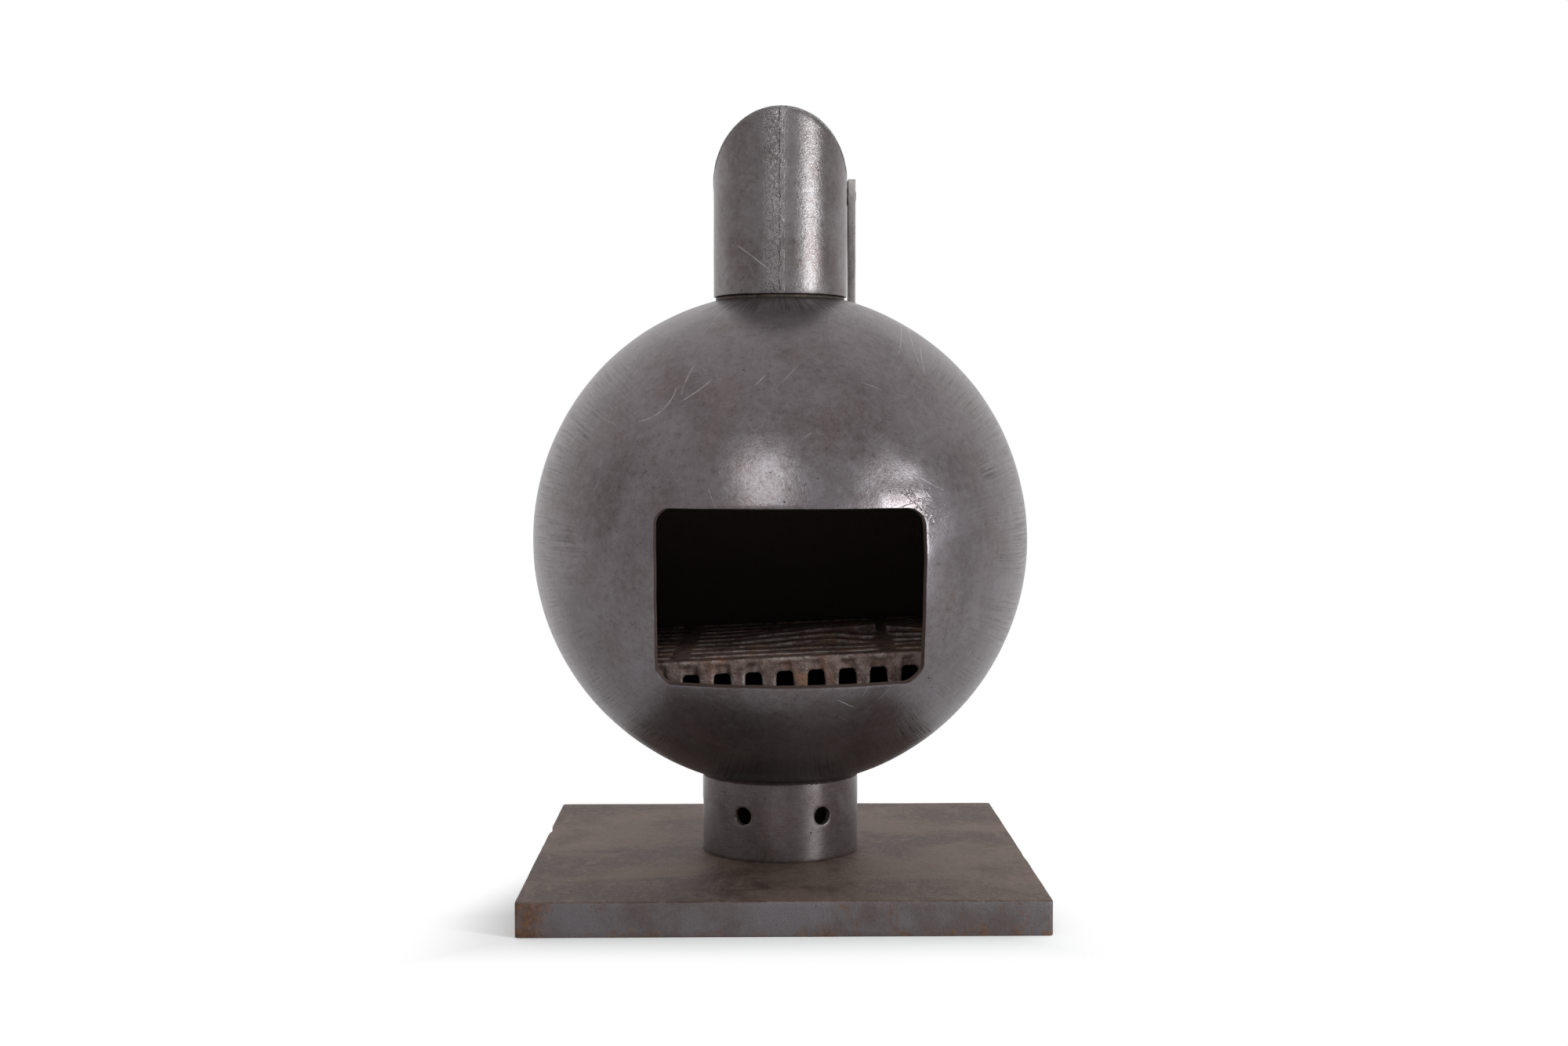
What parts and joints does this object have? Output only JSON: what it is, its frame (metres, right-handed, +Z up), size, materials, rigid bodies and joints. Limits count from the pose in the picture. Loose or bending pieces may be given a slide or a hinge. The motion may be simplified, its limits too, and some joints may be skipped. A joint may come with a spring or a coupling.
{
  "type": "spherical fireplace",
  "caption": "Free-standing spherical steel fireplace on a square slab, with an open mouth, a loose cast grate and a mitred flue elbow that lifts off and holds a lever damper.",
  "frame": {"origin": "on the floor under the middle of the slab and of the sphere", "axes": "+Z up; the mouth faces -Y; the flue leaves along +Y; the damper lever is on the +X side"},
  "size_m": [0.6138, 0.61, 0.9513],
  "materials": {
    "slab_steel": "flame-cut mill plate, brown-grey, matt, a little rust",
    "pedestal_steel": "raw rolled tube, dark grey",
    "sphere_steel": "raw pressed plate, dark grey, ground and scratched",
    "ground_weld": "weld ground flush",
    "weld_metal": "raw weld bead, dark",
    "pipe_steel": "raw welded pipe, grey, pitted along its seam",
    "damper_steel": "raw flat bar, dark grey",
    "bright_steel": "drawn bar and plain fasteners",
    "grate_iron": "used cast iron, brown, with worn light edges"
  },
  "bodies": {
    "hearth": {"base_slab": "slab_steel", "pedestal_tube": "pedestal_steel", "pedestal_foot_weld": "weld_metal", "pedestal_neck_weld": "weld_metal", "front_hemisphere": "sphere_steel", "rear_hemisphere": "sphere_steel", "sphere_seam_weld": "ground_weld", "flue_collar": "weld_metal", "collar_seat_weld": "weld_metal"},
    "flue_elbow": {"flue_riser": "pipe_steel", "flue_level_leg": "pipe_steel", "mitre_weld": "ground_weld", "riser_seam_weld": "ground_weld", "leg_seam_weld": "ground_weld", "outlet_spigot": "pipe_steel", "spigot_weld": "weld_metal", "damper_bush_right": "damper_steel", "damper_bush_left": "damper_steel"},
    "damper": {"damper_plate": "damper_steel", "damper_spindle": "bright_steel", "damper_lever": "damper_steel", "lever_plug_weld": "weld_metal", "lever_washer": "bright_steel", "plate_bolts": "bright_steel", "plate_nuts": "bright_steel"},
    "grate": {"fire_grate": "grate_iron"}
  },
  "joints": [
    {"name": "flue_lift_off", "type": "slide", "parent": "hearth", "child": "flue_elbow", "axis": [0, 0, 1], "range_m": [0, 0.06]},
    {"name": "damper_turn", "type": "hinge", "parent": "flue_elbow", "child": "damper", "pos_m": [0, 0.13005, 0.86872], "axis": [1, 0, 0], "range_deg": [0, 90]},
    {"name": "grate_lift", "type": "slide", "parent": "hearth", "child": "grate", "axis": [0, 0, 1], "range_m": [0, 0.04]}
  ]
}
